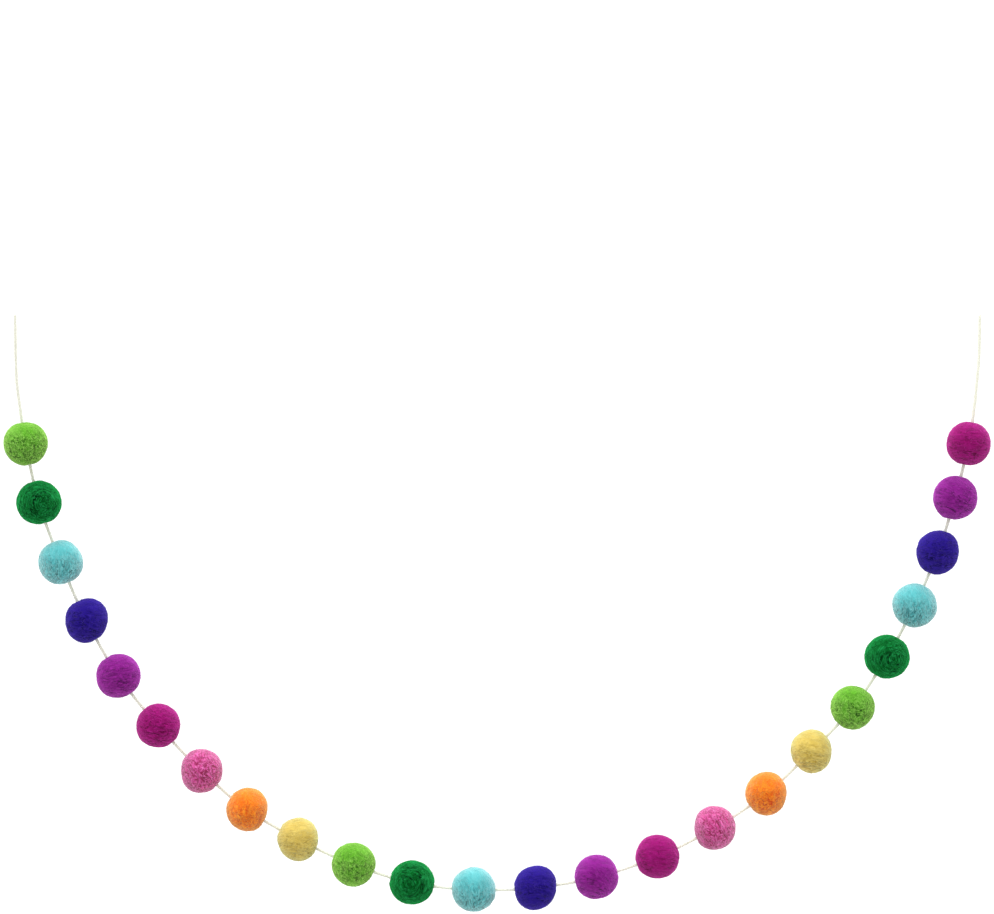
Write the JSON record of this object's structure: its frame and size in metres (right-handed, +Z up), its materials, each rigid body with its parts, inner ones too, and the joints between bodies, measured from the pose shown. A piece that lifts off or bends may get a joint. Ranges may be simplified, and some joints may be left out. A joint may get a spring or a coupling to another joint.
{
  "type": "felt ball garland",
  "caption": "Wool felt balls in repeating rainbow colours threaded on a plain cotton string, a decoration that hangs in a deep curve from its two ends.",
  "frame": {"origin": "the left end of the string, where it is tied or pinned up", "axes": "+X runs level from the left end of the string to its right end, +Y away from the viewer, +Z up; the garland hangs in the XZ plane"},
  "size_m": [0.4539, 0.0206, 0.2746],
  "materials": {
    "cotton_string": "matt twisted cotton, ivory",
    "lime_felt": "matt wool felt, lime green",
    "green_felt": "matt wool felt, deep green",
    "aqua_felt": "matt wool felt, aqua",
    "indigo_felt": "matt wool felt, indigo",
    "purple_felt": "matt wool felt, purple",
    "magenta_felt": "matt wool felt, magenta",
    "pink_felt": "matt wool felt, pink",
    "orange_felt": "matt wool felt, orange",
    "yellow_felt": "matt wool felt, straw yellow"
  },
  "bodies": {
    "root": {"string": "cotton_string", "ball_01_lime": "lime_felt", "ball_02_green": "green_felt", "ball_03_aqua": "aqua_felt", "ball_04_indigo": "indigo_felt", "ball_05_purple": "purple_felt", "ball_06_magenta": "magenta_felt", "ball_07_pink": "pink_felt", "ball_08_orange": "orange_felt", "ball_09_yellow": "yellow_felt", "ball_10_lime": "lime_felt", "ball_11_green": "green_felt", "ball_12_aqua": "aqua_felt", "ball_13_indigo": "indigo_felt", "ball_14_purple": "purple_felt", "ball_15_magenta": "magenta_felt", "ball_16_pink": "pink_felt", "ball_17_orange": "orange_felt", "ball_18_yellow": "yellow_felt", "ball_19_lime": "lime_felt", "ball_20_green": "green_felt", "ball_21_aqua": "aqua_felt", "ball_22_indigo": "indigo_felt", "ball_23_purple": "purple_felt", "ball_24_magenta": "magenta_felt"}
  },
  "joints": []
}
